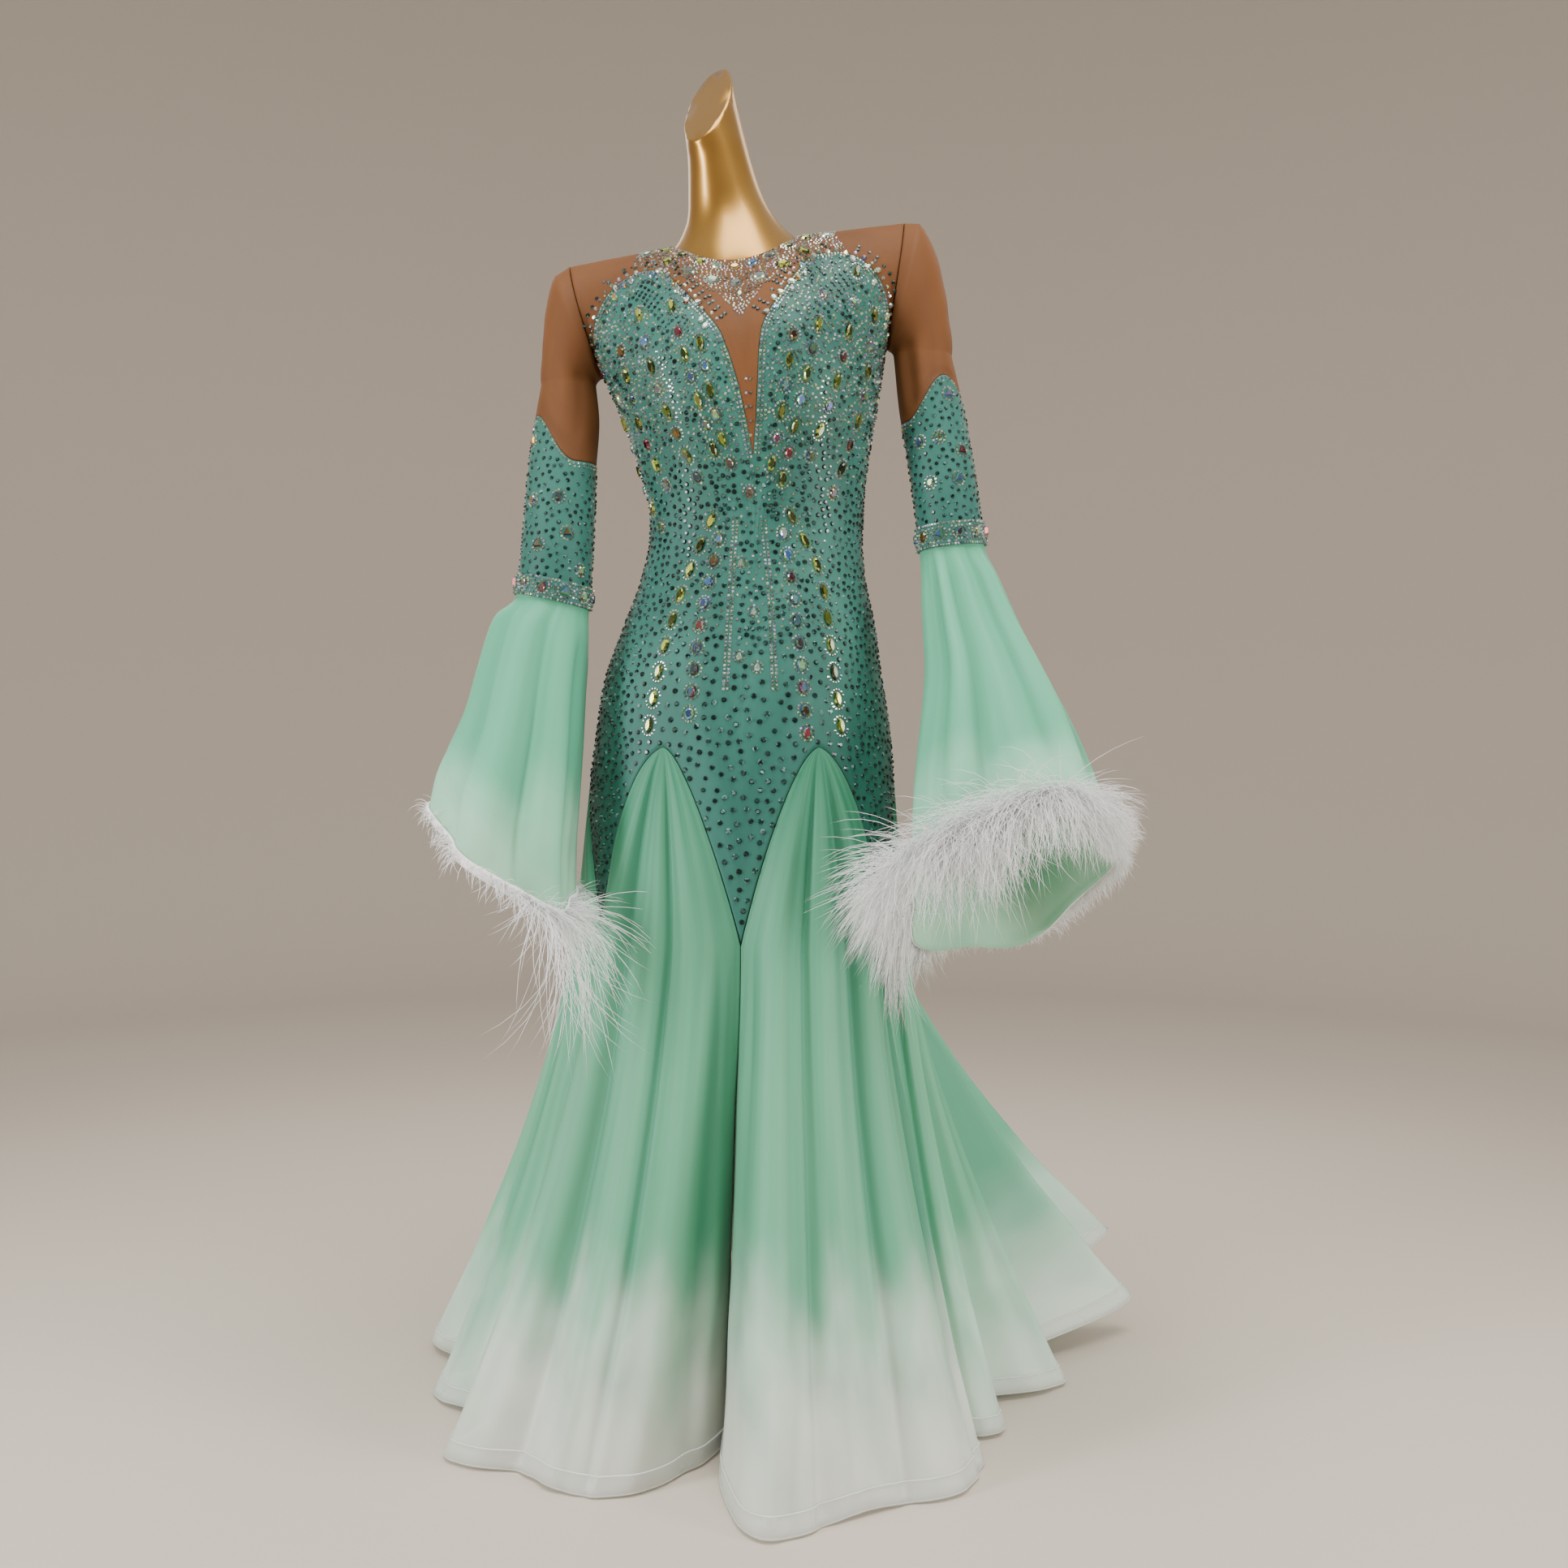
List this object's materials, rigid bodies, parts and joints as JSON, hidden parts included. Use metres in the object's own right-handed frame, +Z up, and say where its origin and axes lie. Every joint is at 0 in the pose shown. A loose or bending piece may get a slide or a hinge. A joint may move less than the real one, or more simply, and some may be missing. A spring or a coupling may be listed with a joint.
{
  "type": "ballroom dance dress on a dress form",
  "caption": "Long-sleeved ballroom dance dress with flared organza godets, bell sleeves and feather trim, worn by a limbless gold dress form on a pole stand.",
  "frame": {"origin": "middle of the stand base's underside, on the floor", "axes": "+Z up, +X to the viewer's right when the dress is seen from the front, -Y towards the front"},
  "size_m": [0.9143, 0.8469, 1.5798],
  "materials": {
    "teal_crepe": "satin stretch crepe",
    "skin_net": "matte stretch net",
    "mint_organza": "sheer organza, fading to white at the hem",
    "hem_braid": "stiff satin braid",
    "white_feather": "soft feather",
    "zip_tape": "woven tape",
    "gold_form": "glossy gold lacquer",
    "stand_steel": "brushed",
    "dark_stone": "faceted, mirror backed",
    "clear_stone": "faceted, rainbow coated"
  },
  "bodies": {
    "root": {"yoke_front": "skin_net", "yoke_back": "skin_net", "bodice_front": "teal_crepe", "bodice_back": "teal_crepe", "back_zip": "zip_tape", "sleeve_upper_left": "skin_net", "sleeve_lower_left": "teal_crepe", "cuff_band_left": "teal_crepe", "bell_sleeve_left": "mint_organza", "feather_trim_left": "white_feather", "sleeve_upper_right": "skin_net", "sleeve_lower_right": "teal_crepe", "cuff_band_right": "teal_crepe", "bell_sleeve_right": "mint_organza", "feather_trim_right": "white_feather", "godet_front_left": "mint_organza", "godet_front_right": "mint_organza", "godet_side_left": "mint_organza", "godet_side_right": "mint_organza", "godet_back_left": "mint_organza", "godet_back_right": "mint_organza", "hem_braid": "hem_braid", "form_torso": "gold_form", "stand_pole": "stand_steel", "stand_base": "stand_steel"}
  },
  "joints": []
}
